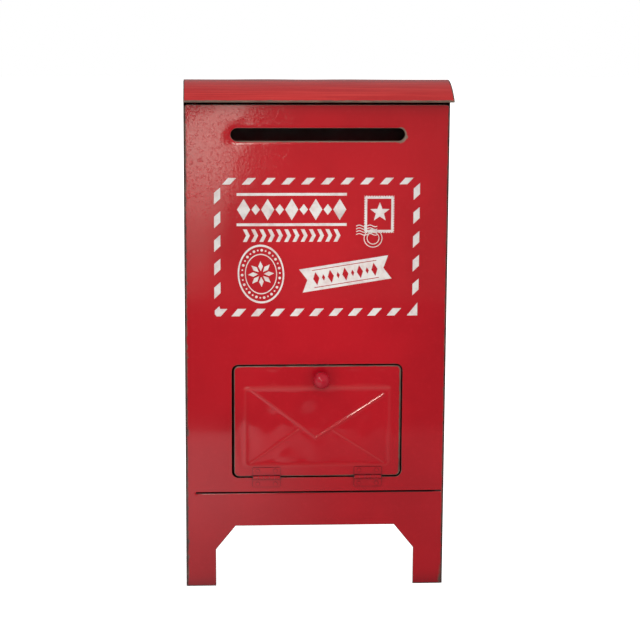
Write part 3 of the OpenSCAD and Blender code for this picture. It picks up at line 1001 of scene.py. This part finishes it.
def border():
    """Slanted dashes round the print, as on an airmail letter's edge."""
    layer = Print()
    for i in range(10):
        x = -89.2 + i * 18.6
        layer.fill([(x, 394), (x + 7.4, 394), (x + 13.3, 400.2), (x + 5.6, 400.2)])
    for i in range(9):
        x = -80.6 + i * 18.5
        layer.fill([(x, 267.8), (x + 7.6, 267.8), (x + 14, 275), (x + 5.9, 275)])
    for x, top, pitch in ((-96.8, 391.3, 22.6), (91.8, 395.2, 22.9)):
        for i in range(5):
            z = top - i * pitch
            layer.fill([(x, z - 16.2), (x + 5.9, z - 10.6), (x + 5.9, z), (x, z - 5.2)])
    layer.fill([(86.8, 267.8), (96.8, 267.8), (96.8, 280.4)])
    layer.fill([(-96.4, 269.8), (-94.6, 267.8), (-90.8, 267.8), (-84.5, 275), (-91.2, 275),
                (-92.2, 277.6), (-96.4, 273.4)])
    layer.make("print_border")


def title_band():
    """A plain ornament of diamonds between rules, and a row of chevrons under it."""
    layer = Print()
    left, right, middle = -75.5, 28.5, 370.2
    for z in (384.6, 355.8):
        layer.fill(box_loop((left, z - 1.3), (right, z + 1.3)))
    for i in range(9):
        x = left + 6.6 + i * (right - left - 13.2) / 8
        tall, wide = (10.2, 6.2) if i % 2 == 0 else (5.2, 4.0)
        layer.fill([(x - wide, middle), (x, middle - tall), (x + wide, middle), (x, middle + tall)])
    for i in range(12):
        x = -69.6 + i * 7.8
        layer.fill([(x, 339.4), (x + 3.6, 339.4), (x + 6.6, 345.4), (x + 3.6, 351.4), (x, 351.4),
                    (x + 3, 345.4)])
    layer.make("print_title_band")


def stamp():
    """A blank postage stamp with a star, and a round cancel with wavy lines across its corner."""
    layer = Print()
    lo, hi, bite = (45.0, 347.6), (73.6, 383.2), 1.0
    edge = []
    sides = (((lo[0], lo[1]), (hi[0], lo[1]), 12), ((hi[0], lo[1]), (hi[0], hi[1]), 15),
             ((hi[0], hi[1]), (lo[0], hi[1]), 12), ((lo[0], hi[1]), (lo[0], lo[1]), 15))
    for a, b, teeth in sides:
        a, b = np.array(a), np.array(b)
        way = (b - a) / np.linalg.norm(b - a)
        inward = np.array([-way[1], way[0]])
        for i in range(teeth):
            start, end = a + (b - a) * (i + 0.15) / teeth, a + (b - a) * (i + 0.85) / teeth
            edge += [tuple(start), tuple((start + end) / 2 + inward * bite), tuple(end)]
    inner = box_loop((lo[0] + 2.9, lo[1] + 2.9), (hi[0] - 2.9, hi[1] - 2.9))
    layer.fill(edge, inner)
    middle = ((lo[0] + hi[0]) / 2 + 0.6, (lo[1] + hi[1]) / 2 + 2)
    layer.fill(star(middle, 9.6))
    for i in range(4):
        line = [(x, 354.4 - i * 2.7 + 0.8 * math.sin((x - 38) * 0.62)) for x in np.linspace(37.6, 57.5, 40)]
        layer.fill(stroke(line, 0.75))
    for radius in (8.9, 6.0):
        centre = (53.7, 342.6)
        layer.fill(circle(centre, radius), circle(centre, radius - 0.7))
    layer.make("print_stamp")


def postmark():
    """An upright oval with a ring of dots, and a rosette of eight diamonds in it."""
    layer = Print()
    centre, tilt = (-52.5, 308.5), 3

    def oval(radius, steps=64):
        return turned(circle(centre, radius, steps, 1.28), centre, tilt)

    for outer, thick in ((22.1, 1.5), (15.2, 0.8)):
        layer.fill(oval(outer), oval(outer - thick))
    for i, point in enumerate(oval(17.9, 30)):
        layer.fill(circle(point, 1.25 if i % 2 else 0.8, 14))
    diamond = [(centre[0] + u, centre[1] + v) for u, v in ((2.8, 0), (7.4, -2.2), (12.4, 0), (7.4, 2.2))]
    for i in range(8):
        layer.fill(turned(diamond, centre, tilt + 45 * i))
    layer.make("print_postmark")


def ribbon():
    """A tilted swallow-tailed ribbon with a row of diamonds cut out of it."""
    layer = Print()
    half, tall, notch = 42.8, 11.3, 6.2
    centre, tilt = (27.7, 308.3), 9
    outline = [(-half, -tall), (half, -tall), (half - notch, 0),
               (half, tall), (-half, tall), (-half + notch, 0)]

    def put(loop):
        return turned([(centre[0] + u, centre[1] + v) for u, v in loop], centre, tilt)

    cuts = []
    for i in range(9):
        x = -28 + i * 7.0
        wide, high = (3.0, 6.4) if i % 2 == 0 else (1.6, 3.2)
        cuts.append(put([(x - wide, 0), (x, -high), (x + wide, 0), (x, high)]))
    for z in (-8.7, 8.0):
        cuts.append(put([(-31, z), (31, z), (31, z + 0.7), (-31, z + 0.7)]))
    layer.fill(put(outline), *cuts)
    layer.make("print_ribbon")


border()
title_band()
stamp()
postmark()
ribbon()


# ---------- floor, lights and camera ----------

def card(name, corners, material, glossy_only=False):
    obj = mesh_object(name, corners, [(0, 1, 2, 3)], smooth=False)
    obj.data.materials.append(material)
    if glossy_only:
        obj.visible_camera = False
        obj.visible_diffuse = False
        obj.visible_shadow = False


def glow(name, tint, build):
    """A black card material that shines with the strength that build's nodes give."""
    paint = Paint(name)
    paint.shader.inputs["Base Color"].default_value = (0, 0, 0, 1)
    paint.shader.inputs["Specular IOR Level"].default_value = 0
    paint.shader.inputs["Emission Color"].default_value = (*tint, 1)
    paint.feed(paint.shader.inputs["Emission Strength"], build(paint, *paint.axes(paint.place)))
    return paint.material


def pale_floor():
    """A white floor, lifted to the background's white for the camera alone."""
    paint = Paint("pale_floor")
    seen = paint.add("ShaderNodeLightPath").outputs["Is Camera Ray"]
    paint.shader.inputs["Emission Color"].default_value = (1, 1, 1, 1)
    paint.feed(paint.shader.inputs["Emission Strength"], paint.product(seen, 0.85))
    return paint.finish((0.86, 0.86, 0.86, 1), 0.9)


def floor_glow(paint, x, y, _):
    """What the enamel mirrors of the floor: white near the object, more so on the left, and dark beyond."""
    near = paint.spread(y, FRONT_Y - 0.63, FRONT_Y - 0.585)
    across = paint.spread(x, -0.13, 0.07, 0.72, 0.13)
    close = paint.spread(y, FRONT_Y - 0.35, FRONT_Y, 1.0, 0.55)
    return paint.sum(paint.product(near, across, close), 0.14)


def window_glow(paint, x, _, z):
    """A pale screen in front and to the left, brighter upwards and brightest over its top, with an
    uneven edge and one dark corner."""
    wobble = paint.product(paint.math("SUBTRACT", paint.noise(16, detail=3), 0.5), 0.03)
    side = paint.spread(paint.sum(x, paint.product(z, -0.2), wobble), -0.12, -0.08, 1, 0)
    side = paint.product(side, paint.spread(x, -0.2, -0.17))
    corner = paint.spread(paint.sum(x, paint.product(z, -2), wobble), -0.757, -0.722)
    fall = paint.math("POWER", paint.spread(z, 0, 0.33, 0, 0.97), 1.8)
    fall = paint.sum(fall, paint.spread(z, -0.01, 0.05, 0, 0.1))
    patches = paint.spread(paint.noise(22, detail=4), 0.3, 0.62, 0.72, 1.0)
    screen = paint.product(side, corner, fall, patches, 4.8)
    over = paint.product(side, paint.spread(z, 0.36, 0.44), 8)
    return paint.sum(screen, over, 0.28)


card("floor", [(-6, -6, 0), (6, -6, 0), (6, 6, 0), (-6, 6, 0)], pale_floor())
card("floor_gloss", [(-3, -5.5, 0.001), (3, -5.5, 0.001), (3, FRONT_Y, 0.001), (-3, FRONT_Y, 0.001)],
     glow("floor_gloss", (1, 1, 1), floor_glow), glossy_only=True)
card("window_gloss", [(-0.5, -1.5, 0.002), (0.4, -1.5, 0.002), (0.4, -1.5, 0.56), (-0.5, -1.5, 0.56)],
     glow("window_gloss", (0.8, 1, 0.88), window_glow), glossy_only=True)


def lamp_card():
    """A small bright lamp, high on the left, that the right fold of the pressed flap mirrors."""
    centre = Vector((-0.72, -1.887, 1.13))
    along = Vector((0.837, 0, 0.547)) * 0.054
    across = Vector((-0.547, 0, 0.837)) * 0.09
    corners = [centre - along - across, centre + along - across, centre + along + across,
               centre - along + across]
    material = glow("lamp_gloss", (1, 0.86, 0.76), lambda paint, *_: 38.0)
    card("lamp_gloss", corners, material, glossy_only=True)


lamp_card()


def studio_world():
    """Plain white for the camera and for soft light. Gloss sees a room that is darker behind the object."""
    world = bpy.data.worlds.new("studio")
    world.use_nodes = True
    sky = Nodes(world.node_tree)
    path = sky.add("ShaderNodeLightPath").outputs
    axes = sky.axes(sky.add("ShaderNodeTexCoord").outputs["Generated"])
    behind = sky.spread(axes["Y"], -0.3, 0.5, 0.45, 0.2, step="LINEAR")
    seen_in_gloss = sky.product(behind, path["Is Glossy Ray"])
    soft = sky.math("MULTIPLY_ADD", path["Is Glossy Ray"], -0.72, 0.72)
    background = sky.tree.nodes["Background"].inputs
    sky.feed(background["Color"], (1, 1, 1, 1))
    strength = sky.math("MAXIMUM", sky.sum(seen_in_gloss, soft), path["Is Camera Ray"])
    sky.feed(background["Strength"], strength)
    return world


bpy.context.scene.world = studio_world()


def aimed_light(name, kind, place, aim, power):
    light = bpy.data.lights.new(name, kind)
    light.energy = power
    obj = add_object(name, light)
    obj.location = place
    obj.rotation_euler = (aim - place).to_track_quat("-Z", "Y").to_euler()
    return obj


def key_light():
    """A square softbox, high in front and to the left."""
    light = aimed_light("key", "AREA", Vector((-1.3, -1.5, 1.9)), Vector((0, 0, 0.3)), 9).data
    light.shape = "RECTANGLE"
    light.size = light.size_y = 0.8


def pool_light():
    """A soft pool of light on the front, taller than wide, that gloss doesn't mirror. Before it is
    stretched, it fades to nothing at reach from its middle."""
    place, aim, reach = Vector((-0.02, -1.2, 0.62)), Vector((0.004, FRONT_Y, 0.295)), 0.24
    obj = aimed_light("pool", "SPOT", place, aim, 27.5)
    obj.data.shadow_soft_size = 0.12
    obj.data.spot_blend = 1.0
    obj.data.spot_size = 2 * math.atan(reach / (aim - place).length)
    obj.scale = (0.68, 1.12, 1)
    obj.visible_glossy = False


key_light()
pool_light()

# The camera stands to the left of the case's middle and looks down a little.
CAMERA_AIM = Vector((2.5 * MM, FRONT_Y, 263.8 * MM))
CAMERA_DISTANCE = 2.0
CAMERA_AZIMUTH = math.radians(3.283)
CAMERA_DOWN = math.radians(11.249)
CAMERA_ROLL = math.radians(0.337)

camera = add_object("camera", bpy.data.cameras.new("camera"))
camera.data.lens = 117.9394
camera.data.sensor_width = 36
camera.data.clip_end = 50
look = Vector((math.sin(CAMERA_AZIMUTH) * math.cos(CAMERA_DOWN),
               math.cos(CAMERA_AZIMUTH) * math.cos(CAMERA_DOWN), -math.sin(CAMERA_DOWN)))
camera.location = CAMERA_AIM - look * CAMERA_DISTANCE
camera.rotation_euler = (look.to_track_quat("-Z", "Y").to_matrix()
                         @ Euler((0, 0, CAMERA_ROLL)).to_matrix()).to_euler()
bpy.context.scene.camera = camera
bpy.context.scene.view_settings.view_transform = "Standard"
